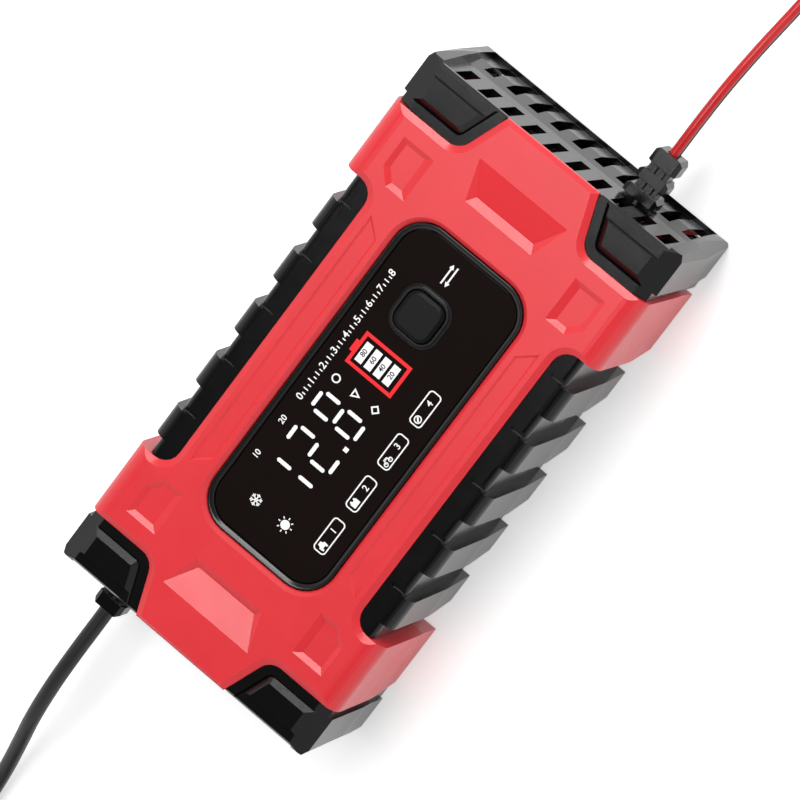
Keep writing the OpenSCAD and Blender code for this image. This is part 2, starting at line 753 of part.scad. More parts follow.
// The fan is screwed to bars of the slotted plate
fan_hole = 1.5 * slot_pitch;
fan_y = slot_mid + fan_hole;
fan_x1 = plate_x - 0.5 - 0.02;
fan_x0 = fan_x1 - fan_t;
fan_bore = fan_size - 2;
blade_n = 7;
module fan_frame() {
  color(BLACK) translate([0, fan_y, fan_z]) {
    difference() {
      block(fan_x0, fan_x1, -fan_size / 2, fan_size / 2, -fan_size / 2, fan_size / 2);
      rod_x(fan_bore, fan_x0 - 1, fan_x1 + 1, 0, 0);
      for (t = [-1, 1]) {
        for (u = [-1, 1]) {
          rod_x(2.6, fan_x0 - 1, fan_x1 + 1, t * fan_hole, u * fan_hole);
        }
      }
    }
    difference() {
      union() {
        rod_x(18, fan_x0, fan_x0 + 1.4, 0, 0);
        for (a = [45:90:315]) {
          rotate([a, 0, 0]) block(fan_x0, fan_x0 + 1.2, 8, fan_bore / 2 + 0.6, -1, 1);
        }
      }
      rod_x(2.2, fan_x0 - 1, fan_x0 + 3, 0, 0);
    }
  }
}
module fan_rotor() {
  color([0.12, 0.12, 0.13]) translate([0, fan_y, fan_z]) {
    rod_x(15, fan_x0 + 2, fan_x1 - 1, 0, 0);
    rod_x(2, fan_x0 + 0.2, fan_x0 + 2.5, 0, 0);
    for (i = [0:blade_n - 1]) {
      rotate([i * 360 / blade_n, 0, 0]) translate([(fan_x0 + fan_x1) / 2 + 0.4, 0, 7])
        rotate([0, 0, 38]) translate([-4.2, -0.5, 0]) cube([8.4, 1, fan_bore / 2 - 8.4]);
    }
  }
}
module fan_screws() {
  color(STEEL) for (t = [-1, 1]) {
    for (u = [-1, 1]) {
      translate([fan_x0 - 1.6, fan_y + t * fan_hole, fan_z + u * fan_hole])
        rotate([0, 90, 0]) screw(2.1, 4.4, 1.58, fan_t + 3.4, 1.7);
    }
  }
}

// --- fasteners and feet ---
module case_screws() {
  color(STEEL) four_corners(post_x, post_y)
    translate([0, 0, foot_h + 0.6]) screw(2.8, 6, 2, case_h / 2 - 1, 2.4);
}
module rubber_feet() {
  color(GREY) four_corners(foot_x, foot_y) rod(foot_d, 0, 0, 0, foot_h + 0.8);
}

// --- strain reliefs ---
// One ring of a relief: a block with its edges cut off
module relief_ring(x0, x1, w, h) {
  c = 1.3;
  intersection() {
    along_x([[-w, -h + c], [-w + c, -h], [w - c, -h], [w, -h + c], [w, h - c], [w - c, h],
      [-w + c, h], [-w, h - c]], x0, x1);
    prism([[x0, -w], [x1 - c, -w], [x1, -w + c], [x1, w - c], [x1 - c, w], [x0, w]], -h - 1, h + 1);
  }
}
// Rings that narrow outwards, joined by a core with a short bar on each face, and a collar at
// the outer end. The hole fits the lead.
module relief(face_x, l, collar, rings, hole_w, hole_h) {
  inner = 8;
  ring_l = 3.6;
  first = face_x + 0.9;
  step = (face_x + l - collar - first) / rings;
  difference() {
    union() {
      rod_x(9, face_x - inner, face_x + 3, 0, 0);
      block(face_x - inner, face_x - 4.4, -6, 6, -6, 6);
      for (i = [0:rings - 1]) {
        x = first + i * step;
        relief_ring(x, x + min(ring_l, step - 1.4), 6.2 - i * 0.5, 5.2 - i * 0.2);
        block(x, x + step + 0.1, -3.9, 3.9, -3.5, 3.5);
        for (s = [-1, 1]) {
          block(x, x + step + 0.1, s * 1.5 - 0.7, s * 1.5 + 0.7, -4.7, 4.7);
        }
      }
      relief_ring(face_x + l - collar, face_x + l, 5.2, 4.8);
    }
    block(face_x - inner - 1, face_x + l + 1, -hole_w / 2, hole_w / 2, -hole_h / 2, hole_h / 2);
  }
}
relief_x = core_x + 3;
module output_strain_relief() {
  color(BLACK) translate([0, out_y, lead_z])
    relief(relief_x, relief_l, 5.4, 2, core_d + 0.2, 2 * core_d + 0.2);
}
module mains_strain_relief() {
  color(BLACK) translate([0, mains_y, lead_z]) mirror([1, 0, 0])
    difference() {
      relief(relief_x, mains_relief_l, 4.6, 1, 1, 1);
      rod_x(mains_d + 0.2, relief_x - 9, relief_x + mains_relief_l + 1, 0, 0);
    }
}

// --- sweeping a section along points ---
function dir_at(p, i) = unit(p[min(i + 1, len(p) - 1)] - p[max(i - 1, 0)]);
function side_at(t) = unit(cross([0, 0, 1], t));
// Section points sec run counter-clockwise in [side, up]
function ring_at(p, i, sec) =
  let (t = dir_at(p, i), s = side_at(t), u = cross(t, s)) [for (q = sec) p[i] + s * q[0] + u * q[1]];
module sweep(p, sec) {
  n = len(sec);
  m = len(p);
  pts = [for (i = [0:m - 1]) each ring_at(p, i, sec)];
  skin = [for (i = [0:m - 2]) for (j = [0:n - 1]) let (k = (j + 1) % n)
    each [[i * n + j, (i + 1) * n + j, i * n + k], [i * n + k, (i + 1) * n + j, (i + 1) * n + k]]];
  ends = concat([for (j = [1:n - 2]) [0, j, j + 1]],
    [for (j = [1:n - 2]) [(m - 1) * n, (m - 1) * n + j + 1, (m - 1) * n + j]]);
  polyhedron(pts, concat(skin, ends));
}
// A regular section of n sides with a flat below, moved up by lift
function tube_sec(d, n, lift = 0) =
  let (turn = n % 4 == 0 ? 0.5 : 0)
  [for (i = [0:n - 1]) [d / 2 * cos(360 * (i + turn) / n), lift + d / 2 * sin(360 * (i + turn) / n)]];
function flat_of(d, n) = d / 2 * cos(180 / n);
// A smooth path through chosen points
function spline(p, steps) =
  [for (i = [0:len(p) - 2]) let (a = p[max(i - 1, 0)], b = p[i], c = p[i + 1],
      d = p[min(i + 2, len(p) - 1)]) for (k = [0:steps - 1]) let (t = k / steps)
      0.5 * (2 * b + (c - a) * t + (2 * a - 5 * b + 4 * c - d) * t * t
        + (3 * b - a - 3 * c + d) * t * t * t),
    p[len(p) - 1]];
function path_len(p, i = 0) = i >= len(p) - 1 ? 0 : norm(p[i + 1] - p[i]) + path_len(p, i + 1);

// --- coils ---
// A coil of two layers: it spirals in, climbs half a turn, and spirals out again.
// The climb swings a little further in, clear of both layers. The ends run straight.
function coil_path(c, r_out, pitch, turns, a0, z0, z1, lead_in, steps = 24) =
  let (n1 = round(turns * steps), nc = steps / 2, r_in = r_out - pitch * turns,
    down = [for (i = [0:n1]) let (a = a0 + 360 * i / steps, r = r_out - pitch * i / steps)
      [c[0] + r * cos(a), c[1] + r * sin(a), z0]],
    climb = [for (i = [1:nc - 1]) let (a = a0 + 360 * (n1 + i) / steps, k = i / nc,
      r = r_in - 0.5 * pitch * sin(180 * k), rise = 3 * k * k - 2 * k * k * k)
      [c[0] + r * cos(a), c[1] + r * sin(a), z0 + (z1 - z0) * rise]],
    up = [for (i = [0:n1]) let (a = a0 + 360 * (n1 + nc + i) / steps, r = r_in + pitch * i / steps)
      [c[0] + r * cos(a), c[1] + r * sin(a), z1]],
    loop = concat(down, climb, up), a1 = a0 + 360 * (2 * turns + 0.5))
  concat([loop[0] + [sin(a0), -cos(a0), 0] * lead_in], loop,
    [loop[len(loop) - 1] + [-sin(a1), cos(a1), 0] * lead_in]);
// Least distance between stretches of a path that lie at least skip points apart.
// A cord that is taller than wide gives the extra height in tall.
function least_gap(p, skip, tall = 0) =
  min([for (i = [0:2:len(p) - 1 - skip]) for (j = [i + skip:len(p) - 1])
    norm([p[i][0] - p[j][0], p[i][1] - p[j][1], max(0, abs(p[i][2] - p[j][2]) - tall)])]);

tie_t = 0.8;
tie_gap = 0.4;
coil_sides = 6;
lead_sides = 8;
mains_r = 39;
mains_c = [-238, mains_y - mains_r];
mains_pitch = mains_d + 0.6;
mains_turns = 2;
mains_z0 = tie_t + flat_of(mains_d, coil_sides) + 0.05;
mains_z1 = mains_z0 + mains_d + 0.5;
mains_path = coil_path(mains_c, mains_r, mains_pitch, mains_turns, 90, mains_z0, mains_z1, mains_d);
out_r = 37.4;
out_c = [216, out_y + out_r];
out_pitch = core_d + 0.7;
out_turns = 1.25;
core_lift = flat_of(core_d, coil_sides) + 0.03;
out_z0 = tie_t + 2 * core_lift + 0.05;
out_z1 = out_z0 + 2 * core_d + 0.5;
out_path = coil_path(out_c, out_r, out_pitch, out_turns, -90, out_z0, out_z1, core_d * 2);
echo(mains_coil_gap = least_gap(mains_path, 12) - mains_d, mains_coil_len = path_len(mains_path));
echo(output_coil_gap = least_gap(out_path, 12, core_d) - core_d, output_coil_len = path_len(out_path));

// --- free stretches: points chosen by hand between their fixed ends ---
// A run's ends continue a coil's straight end, so the two meet face to face
mains_exit = -(relief_x - 6);
mains_route = [[mains_exit, mains_y, lead_z], [-104, mains_y, lead_z], [-119, mains_y, lead_z],
  [-134, mains_y, lead_z], [-147, mains_y, lead_z - 1.6], [-161, mains_y, 24.6], [-174, mains_y, 16.8],
  [-187, mains_y, 9.4], [-201, mains_y, 4.8], [-214, mains_y, mains_z0 + 0.2],
  mains_path[0] + [5, 0, 0]];
mains_end = mains_path[len(mains_path) - 1];
plug_x = -232;
tail_r = 22.5;
plug_y = mains_y - 2 * mains_r + 2 * tail_r;
plug_z = mains_z1 + mains_d / 2 + 0.3;
plug_t = 14;
plug_l = 36;
plug_axis = plug_z + plug_t / 2;
// Half a turn up from the coil's end to the plug
tail_bend = [for (i = [0:12]) let (a = 15 * i, k = i / 12)
  [plug_x + 7 + tail_r * sin(a), plug_y - tail_r * (1 + cos(a)),
    mains_z1 + (plug_axis - mains_z1) * (3 * k * k - 2 * k * k * k)]];
out_exit = relief_x - 6;
out_route = [[out_exit, out_y, lead_z], [104, out_y, lead_z], [119, out_y, lead_z],
  [133, out_y, lead_z], [146, out_y, lead_z - 2], [159, out_y, 23.6], [171, out_y, 16.2],
  [183, out_y, 9.4], [194, out_y, out_z0 + 1.4], out_path[0] - [6, 0, 0]];
out_end = out_path[len(out_path) - 1];
red_clamp_x = 272;
black_clamp_x = 299;
clamp_y = out_y + 16.4;
crimp_y = 8.7;
tail_lift = flat_of(core_d, lead_sides);
red_start = out_end + [0, 0, tail_lift];
black_start = out_end - [0, 0, tail_lift];
red_route = [red_start + [6, 0, 0], [237, out_y - 0.6, 10.6], [246, out_y - 0.2, 6.9],
  [254, out_y + 2.9, 4.4], [260, out_y + 8.3, 4], [262.9, out_y + 14, 5.2],
  [red_clamp_x - crimp_y, clamp_y + 2, 6], [red_clamp_x - crimp_y, clamp_y + 4, 6]];
black_route = [black_start + [6, 0, 0], [237, out_y - 1.8, 6.9], [247, out_y - 4.3, 3.7],
  [258, out_y - 5.8, 1.9], [270, out_y - 4.5, 1.8], [280, out_y + 0.6, 2.3],
  [287, out_y + 7.6, 3.8], [290, out_y + 14, 5.3],
  [black_clamp_x - crimp_y, clamp_y + 2, 6], [black_clamp_x - crimp_y, clamp_y + 4, 6]];
mains_run = concat(spline(mains_route, 2), [mains_path[0]]);
out_run = concat(spline(out_route, 2), [out_path[0]]);
tail_run = concat([mains_end], tail_bend, [[plug_x, plug_y, plug_axis]]);
red_run = concat([red_start], spline(red_route, 2));
black_run = concat([black_start], spline(black_route, 2));
echo(mains_total = path_len(mains_run) + path_len(mains_path) + path_len(tail_run));
echo(output_total = path_len(out_run) + path_len(out_path) + path_len(red_run));

module mains_lead() {
  color(BLACK) sweep(mains_run, tube_sec(mains_d, lead_sides));
}
module mains_coil() {
  color(BLACK) sweep(mains_path, tube_sec(mains_d, coil_sides));
}
module mains_tail() {
  color(BLACK) sweep(tail_run, tube_sec(mains_d, lead_sides));
}
module output_lead_red() {
  color(RED) sweep(out_run, tube_sec(core_d, lead_sides, flat_of(core_d, lead_sides)));
}
module output_lead_black() {
  color(BLACK) sweep(out_run, tube_sec(core_d, lead_sides, -flat_of(core_d, lead_sides)));
}
module output_coil_red() {
  color(RED) sweep(out_path, tube_sec(core_d, coil_sides, core_lift));
}
module output_coil_black() {
  color(BLACK) sweep(out_path, tube_sec(core_d, coil_sides, -core_lift));
}
module output_tail_red() {
  color(RED) sweep(red_run, tube_sec(core_d, lead_sides));
}
module output_tail_black() {
  color(BLACK) sweep(black_run, tube_sec(core_d, lead_sides));
}
// A strap round the bundle of loops, in the plane at the coil's +X side
module tie(c, r0, r1, h, head_beside = false) {
  color(BLACK) translate([c[0], c[1], 0]) {
    difference() {
      block(r0 - tie_t, r1 + tie_t, -2.2, 2.2, 0, h + tie_t);
      block(r0, r1, -3, 3, tie_t, h);
    }
    if (head_beside) {
      block(r1 + tie_t - 0.1, r1 + 3.2, -2.8, 2.8, h - 3.4, h + tie_t);
    } else {
      block(r1 - 3, r1 + tie_t, -2.8, 2.8, h + tie_t - 0.1, h + tie_t + 2.4);
    }
  }
}
module mains_tie() {
  half = mains_d / 2 + tie_gap;
  tie(mains_c, mains_r - mains_pitch * (mains_turns - 0.25) - half, mains_r - mains_pitch * 0.75 + half,
    mains_z1 + half, true);
}
module output_tie() {
  half = core_d / 2 + tie_gap;
  tie(out_c, out_r - out_pitch * out_turns - half - tie_gap, out_r - out_pitch * 0.25 + half,
    out_z1 + 2 * core_lift + tie_gap);
}

// --- mains plug: a flat two-pin plug lying on its broad side, on top of the coil ---
module mains_plug() {
  w0 = 6;
  w1 = 17.5;
  color(BLACK) translate([plug_x, plug_y, plug_z]) difference() {
    intersection() {
      prism(rounded([[0, -w0, 1.5], [0, w0, 1.5], [-11, w0 + 1, 4], [-20, w1 - 2, 6], [-plug_l, w1, 2],
        [-plug_l, -w1, 2], [-20, -w1 + 2, 6], [-11, -w0 - 1, 4]], 5), 0, plug_t);
      along_x([[-w1 - 1, 3], [-w1 + 3, 0], [w1 - 3, 0], [w1 + 1, 3], [w1 + 1, plug_t - 3],
        [w1 - 3, plug_t], [-w1 + 3, plug_t], [-w1 - 1, plug_t - 3]]);
    }
    for (s = [-1, 1]) {
      rod_x(pin_d - 1, -far, -plug_l + 8, s * pin_gap / 2, plug_t / 2);
    }
  }
}
module mains_plug_pins() {
  color(STEEL) translate([plug_x, plug_y, plug_z]) for (s = [-1, 1]) {
    translate([0, s * pin_gap / 2, plug_t / 2]) {
      rod_x(pin_d, -plug_l - pin_l + 1, -plug_l, 0, 0);
      rod_x(pin_d - 1, -plug_l - 1, -plug_l + 8, 0, 0);
      translate([-plug_l - pin_l + 1, 0, 0]) rotate([0, -90, 0])
        cylinder(d1 = pin_d, d2 = pin_d - 1.6, h = 1);
    }
  }
}

// --- crocodile clamps: two channels on a pin, lying on their side ---
pivot_x = clamp_l * 0.45;
strip_t = 1.2;
// The handles stay this far apart when the clamp is wide open
handles_apart = 10;
handle_w = (pivot_x * sin(clamp_open) + handles_apart) / 2;
jaw_x = clamp_l * 0.57;
back_x = clamp_l * 0.36;
spine_w = 7;
// The line of one half's back, seen along the pin, from handle to tip
back_line = [[0, -handle_w], [back_x, -spine_w - 1.2], [pivot_x, -spine_w], [jaw_x + 4, -spine_w],
  [clamp_l - 2, -3.4], [clamp_l, -2.2]];
module jaw_cheek(z0) {
  teeth = [for (i = [0:6]) let (x = clamp_l - 1 - i * (clamp_l - jaw_x - 3) / 7)
    each [[x, -0.2], [x - 1.8, -1.4]]];
  prism(concat([[jaw_x, -spine_w], [jaw_x + 4, -spine_w], [clamp_l - 2, -3.4], [clamp_l, -2.2],
    [clamp_l, -0.2]], teeth, [[jaw_x + 2, -0.6], [jaw_x, -3.4]]), z0, z0 + strip_t);
}
// One half of a clamp. ear_z is how far its pivot ears lie inside the channel.
module clamp_half(ear_z, hole_d) {
  rim = len(back_line) - 1;
  prism(concat(back_line, [for (i = [rim:-1:0]) back_line[i] + [0, strip_t]]), 0, clamp_w);
  jaw_cheek(0);
  jaw_cheek(clamp_w - strip_t);
  for (z = [ear_z, clamp_w - strip_t - ear_z]) {
    difference() {
      union() {
        block(pivot_x - 4, pivot_x + 4, -spine_w + 0.6, 0, z, z + strip_t);
        rod(8, pivot_x, 0, z, z + strip_t);
      }
      rod(hole_d, pivot_x, 0, -1, clamp_w + 1);
    }
  }
}
module clamp_lower_half() {
  difference() {
    union() {
      clamp_half(0, clamp_pin_d);
      rod_x(core_d + 2, 3, 10, -crimp_y, clamp_w / 2);
      block(3, 10, -handle_w + 1.8, -crimp_y, clamp_w / 2 - 1.6, clamp_w / 2 + 1.6);
    }
    rod_x(core_d + 0.1, 2, 11, -crimp_y, clamp_w / 2);
  }
}
module clamp_upper_half() {
  mirror([0, 1, 0]) clamp_half(strip_t + 0.3, clamp_pin_d + 0.15);
}
module clamp_pin() {
  rod(clamp_pin_d, pivot_x, 0, 0, clamp_w);
}
// A wire spring round the pin, with both legs towards the handles
spring_wire = 0.9;
spring_r = clamp_pin_d / 2 + 0.35 + spring_wire / 2;
spring_z = 2 * strip_t + 1;
spring_turns = 4;
spring_rise = clamp_w - 2 * spring_z - spring_wire;
spring_path = concat([[pivot_x - 12, -spring_r - 1.4, spring_z + 0.5],
  [pivot_x - 5, -spring_r, spring_z + 0.5]],
  [for (i = [0:8 * spring_turns]) let (a = 270 + 45 * i)
    [pivot_x + spring_r * cos(a), spring_r * sin(a),
      spring_z + 0.5 + spring_rise * i / (8 * spring_turns)]],
  [[pivot_x + 4, -spring_r, clamp_w - spring_z - 0.4], [pivot_x + 8, -spring_r, clamp_w - spring_z - 0.4]]);
module clamp_spring() {
  sweep(spring_path, tube_sec(spring_wire, 6));
}
// Each clamp lies with its handles towards the lead and its jaws along +Y
module clamp_place(x) {
  translate([x, clamp_y, 0]) rotate([0, 0, 90]) mirror([0, 1, 0]) children();
}
module red_place() {
  clamp_place(red_clamp_x) children();
}
module black_place() {
  clamp_place(black_clamp_x) children();
}
module clamp_red_lower() {
  color(RED) red_place() clamp_lower_half();
}
module clamp_red_upper() {
  color(RED) red_place() clamp_upper_half();
}
module clamp_red_pin() {
  color(STEEL) red_place() clamp_pin();
}
module clamp_red_spring() {
  color(STEEL) red_place() clamp_spring();
}
module clamp_black_lower() {
  color(BLACK) black_place() clamp_lower_half();
}
module clamp_black_upper() {
  color(BLACK) black_place() clamp_upper_half();
}
module clamp_black_pin() {
  color(STEEL) black_place() clamp_pin();
}
module clamp_black_spring() {
  color(STEEL) black_place() clamp_spring();
}

top_cover();
bottom_cover();
vent_end_cap();
mains_end_cap();
left_grip();
right_grip();
panel_frame();
panel_lens();
button_collar();
mode_button();
switch_plunger();
tact_switch();
display_module();
display_board();
display_screws();
main_board();
board_screws();
transformer_core();
transformer_winding();
input_capacitor();
output_capacitors();
heatsink();
power_transistors();
bridge_rectifier();
choke();
relay();
fuse();
fan_frame();
fan_rotor();
fan_screws();
case_screws();
rubber_feet();
mains_strain_relief();
output_strain_relief();
mains_lead();
mains_coil();
mains_tail();
mains_tie();
mains_plug();
mains_plug_pins();
output_lead_red();
output_lead_black();
output_coil_red();
output_coil_black();
output_tie();
output_tail_red();
output_tail_black();
clamp_red_lower();
clamp_red_upper();
clamp_red_pin();
clamp_red_spring();
clamp_black_lower();
clamp_black_upper();
clamp_black_pin();
clamp_black_spring();
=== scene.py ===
"""Looks of the car battery charger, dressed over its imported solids. Metres, +X along the case.

The leads and the marks on the lens are written in millimetres, as in the part's source. MM scales them.
"""

import json
import math

import bmesh
import bpy
from mathutils import Matrix, Vector


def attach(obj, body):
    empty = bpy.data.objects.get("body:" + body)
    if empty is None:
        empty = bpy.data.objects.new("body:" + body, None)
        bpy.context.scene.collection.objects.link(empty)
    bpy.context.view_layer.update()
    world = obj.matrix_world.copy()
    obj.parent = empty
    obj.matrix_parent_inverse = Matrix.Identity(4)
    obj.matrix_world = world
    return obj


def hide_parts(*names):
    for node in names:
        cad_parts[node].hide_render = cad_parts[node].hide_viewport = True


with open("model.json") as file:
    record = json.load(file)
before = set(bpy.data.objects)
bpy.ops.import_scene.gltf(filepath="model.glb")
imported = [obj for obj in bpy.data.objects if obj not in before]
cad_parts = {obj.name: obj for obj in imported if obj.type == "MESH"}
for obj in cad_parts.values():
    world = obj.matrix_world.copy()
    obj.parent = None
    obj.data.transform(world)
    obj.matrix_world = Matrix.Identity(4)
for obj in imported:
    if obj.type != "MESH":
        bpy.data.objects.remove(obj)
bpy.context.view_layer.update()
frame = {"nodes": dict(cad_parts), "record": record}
MM = 0.001
NODES = frame["nodes"]
WHITE = (1.0, 1.0, 1.0, 1.0)


def placed(name, data):
    """A new object of the scene that holds the given data."""
    obj = bpy.data.objects.new(name, data)
    bpy.context.scene.collection.objects.link(obj)
    return obj


# ---------------------------------------------------------------- camera
# solved from the corners of the case in the photo: its place, its focal length and two of its axes
FOCAL_PX = 6176.0
FRAME_PX = 800.0
SENSOR_MM = 36.0
CAMERA_AT = Vector((517.7, -354.3, 1870.3)) * MM
RIGHT = Vector((0.5806, -0.7539, -0.3075))
DOWN = Vector((-0.7696, -0.6315, 0.0952))

camera_data = bpy.data.cameras.new("camera")
camera_data.sensor_width = SENSOR_MM
camera_data.sensor_fit = "HORIZONTAL"
camera_data.lens = FOCAL_PX / FRAME_PX * SENSOR_MM
camera_data.clip_start = 0.05
camera_data.clip_end = 30.0
camera = placed("camera", camera_data)
right = RIGHT.normalized()
forward = right.cross(DOWN).normalized()
up = right.cross(forward).normalized()
camera_axes = Matrix((right, up, -forward)).transposed()
camera.matrix_world = Matrix.Translation(CAMERA_AT) @ camera_axes.to_4x4()
bpy.context.scene.camera = camera
bpy.context.scene.view_settings.view_transform = "Standard"

# ---------------------------------------------------------------- materials
# scales of the noises, per metre
CLOUDS = 46.0
GLOSS_PATCHES = 170.0
MOULD_GRAIN = 5200.0
METAL_GRAIN = 900.0
SHEATH_DUST = 90.0
SHEATH_PATCHES = 260.0
SHEATH_GRAIN = 3800.0
COAT_ROUGHNESS = 0.12


def linear(r, g, b):
    """A 0-255 screen colour as the linear colour that a shader takes."""
    out = []
    for c in (r, g, b):
        c = c / 255.0
        out.append(c / 12.92 if c <= 0.04045 else ((c + 0.055) / 1.055) ** 2.4)
    return (*out, 1.0)


def shade(colour, k):
    """The colour made k times as bright."""
    return (*(min(1.0, part * k) for part in colour[:3]), 1.0)


class Nodes:
    """A node tree, with short calls that add and link its nodes."""

    def __init__(self, tree):
        self.tree = tree

    def node(self, kind, **values):
        """A new node. Each value goes to the input of that name, or else to the node's own setting."""
        made = self.tree.nodes.new(kind)
        for key, value in values.items():
            if key in made.inputs:
                made.inputs[key].default_value = value
            else:
                setattr(made, key, value)
        return made

    def link(self, output, socket):
        self.tree.links.new(output, socket)

    def ramp(self, fac, stops):
        """The colour at fac on a ramp of (place, colour) stops."""
        ramp = self.node("ShaderNodeValToRGB")
        elements = ramp.color_ramp.elements
        while len(elements) < len(stops):
            elements.new(0.5)
        for element, (place, colour) in zip(elements, stops):
            element.position = place
            element.color = colour
        self.link(fac, ramp.inputs["Fac"])
        return ramp.outputs["Color"]

    def scaled(self, value, factor):
        made = self.node("ShaderNodeMath", operation="MULTIPLY")
        made.inputs[1].default_value = factor
        self.link(value, made.inputs[0])
        return made.outputs[0]


class Shader(Nodes):
    """A Principled material with helpers for its procedural parts."""

    def __init__(self, name, **inputs):
        self.mat = bpy.data.materials.new(name)
        self.mat.use_nodes = True
        super().__init__(self.mat.node_tree)
        self.bsdf = self.tree.nodes["Principled BSDF"]
        self.coord = self.node("ShaderNodeTexCoord").outputs["Object"]
        for key, value in inputs.items():
            self.bsdf.inputs[key.replace("_", " ")].default_value = value

    def feed(self, output, socket):
        """Links an output to one of the material's own sockets."""
        self.link(output, self.bsdf.inputs[socket])

    def noise(self, scale, detail, stretch=None):
        noise = self.node("ShaderNodeTexNoise", Scale=scale, Detail=detail)
        source = self.coord
        if stretch:
            mapping = self.node("ShaderNodeMapping", Scale=stretch)
            self.link(source, mapping.inputs["Vector"])
            source = mapping.outputs["Vector"]
        self.link(source, noise.inputs["Vector"])
        return noise.outputs["Fac"]

    def spread(self, fac, low, high):
        """A value from 0 to 1 spread over low to high."""
        spread = self.node("ShaderNodeMapRange")
        spread.inputs["To Min"].default_value = low
        spread.inputs["To Max"].default_value = high
        self.link(fac, spread.inputs["Value"])
        return spread.outputs["Result"]

    def bump(self, height, strength, distance):
        bump = self.node("ShaderNodeBump", Strength=strength, Distance=distance)
        self.link(height, bump.inputs["Height"])
        self.feed(bump.outputs["Normal"], "Normal")


def plastic(name, rgb, rough, vary=0.06, relief=0.00003, depth=0.25, coat=0.0, shine=0.5, glow=0.0):
    """Moulded plastic: faint clouds in the colour, uneven gloss and a fine moulded grain, with a painted
    glow where glow is given.
    """
    base = linear(*rgb)
    look = Shader(
        name, Roughness=rough, Coat_Weight=coat, Coat_Roughness=COAT_ROUGHNESS, Specular_IOR_Level=shine
    )
    clouds = look.noise(CLOUDS, 4.0)
    colour = look.ramp(clouds, ((0.3, shade(base, 1 - vary)), (0.7, shade(base, 1 + vary))))
    look.feed(colour, "Base Color")
    # glow makes the colour shine by itself: painted light, used to make the print on the lens bright
    if glow:
        look.feed(colour, "Emission Color")
        look.bsdf.inputs["Emission Strength"].default_value = glow
    patches = look.noise(GLOSS_PATCHES, 5.0)
    look.feed(look.spread(patches, rough * 0.82, min(1.0, rough * 1.18)), "Roughness")
    look.bump(look.noise(MOULD_GRAIN, 2.0), depth, relief)
    return look.mat


def metal(name, rgb, rough, stretch=None):
    """Bare metal or enamelled wire: one grain for its colour, gloss and relief, drawn out by stretch."""
    base = linear(*rgb)
    look = Shader(name, Metallic=1.0, Roughness=rough)
    grain = look.noise(METAL_GRAIN, 4.0, stretch)
    look.feed(look.ramp(grain, ((0.25, shade(base, 0.85)), (0.75, shade(base, 1.05)))), "Base Color")
    look.feed(look.spread(grain, rough * 0.7, rough * 1.3), "Roughness")
    look.bump(grain, 0.2, 0.00002)
    return look.mat


def rubber(name, rgb, rough):
    """A lead's sheath or a foot: a little dusty, with uneven gloss and a fine grain."""
    base = linear(*rgb)
    look = Shader(name, Roughness=rough, Specular_IOR_Level=0.45)
    dust = look.noise(SHEATH_DUST, 5.0)
    look.feed(look.ramp(dust, ((0.3, shade(base, 0.88)), (0.75, shade(base, 1.14)))), "Base Color")
    look.feed(look.spread(look.noise(SHEATH_PATCHES, 4.0), rough * 0.8, rough * 1.2), "Roughness")
    look.bump(look.noise(SHEATH_GRAIN, 3.0), 0.25, 0.00003)
    return look.mat


MATERIALS = {
    "red_cover": plastic("red_moulding", (236, 52, 60), 0.32, vary=0.03, coat=0.10),
    "black_case": plastic("black_moulding", (11, 11, 12), 0.18, vary=0.12, shine=0.42),
    "frame_grey": plastic("frame_satin", (18, 18, 18), 0.24, vary=0.05, relief=0.00001),
    "lens_black": plastic(
        "lens_gloss", (26, 19, 18), 0.10, vary=0.04, relief=0.000003, depth=0.1, shine=0.15
    ),
    "collar_black": plastic("collar_satin", (12, 12, 12), 0.30, vary=0.08, shine=0.3),
    "button_grey": plastic("button_soft", (16, 17, 16), 0.36, vary=0.08, shine=0.16),
    "switch_white": plastic("light_guide", (222, 220, 212), 0.5),
    "steel": metal("plated_steel", (196, 198, 202), 0.28),
    "board_green": plastic("solder_resist", (22, 92, 54), 0.35, vary=0.15),
    "ferrite": plastic("ferrite_grey", (62, 62, 66), 0.7, vary=0.12, relief=0.00006),
    "copper_wire": metal("enamelled_wire", (190, 106, 50), 0.38, (1.0, 1.0, 14.0)),
    "capacitor_blue": plastic("capacitor_sleeve", (40, 48, 110), 0.3),
    "dark_epoxy": plastic("epoxy_moulding", (30, 30, 32), 0.55),
    "heatsink_alu": metal("extruded_aluminium", (188, 190, 194), 0.4, (1.0, 1.0, 0.05)),
    "relay_blue": plastic("relay_cover", (42, 84, 168), 0.3),
    "fuse_glass": plastic("fuse_tube", (214, 214, 206), 0.15),
    "fan_black": plastic("fan_moulding", (14, 14, 15), 0.5),
    "foot_rubber": rubber("foot_rubber", (30, 30, 31), 0.8),
    "lead_black": rubber("lead_sheath_black", (42, 41, 41), 0.4),
    "lead_red": rubber("lead_sheath_red", (200, 30, 34), 0.3),
    "tie_black": plastic("tie_nylon", (16, 16, 17), 0.45),
    "plug_black": plastic("plug_moulding", (20, 20, 22), 0.5),
    "clamp_red": plastic("clamp_coat_red", (200, 34, 38), 0.35),
    "clamp_black": plastic("clamp_coat_black", (20, 20, 22), 0.35),
    # the white and red print glow a little by themselves: a painted glow, not a lamp
    "glowing_print_white": plastic("glowing_print_white", (246, 246, 246), 0.5, vary=0.01, relief=0.000002, glow=0.16),
    "glowing_print_red": plastic("glowing_print_red", (240, 8, 22), 0.5, vary=0.02, relief=0.000002, glow=0.16),
    "print_black": plastic("print_black", (24, 22, 22), 0.5, vary=0.02, relief=0.000002),
}
slot_of = {sub["node"]: sub["material_slot"] for sub in frame["record"]["subparts"]}
body_of = {}
for body, names in frame["record"]["behaviour"]["bodies"].items():
    for name in names:
        body_of[name] = body

for name, node in NODES.items():
    node.data.materials.clear()
    node.data.materials.append(MATERIALS[slot_of[name]])


# ---------------------------------------------------------------- leads
def unit(v):
    return v / v.length


def eased(k):
    """From 0 to 1 as k does, level at both ends."""
    return 3 * k * k - 2 * k**3


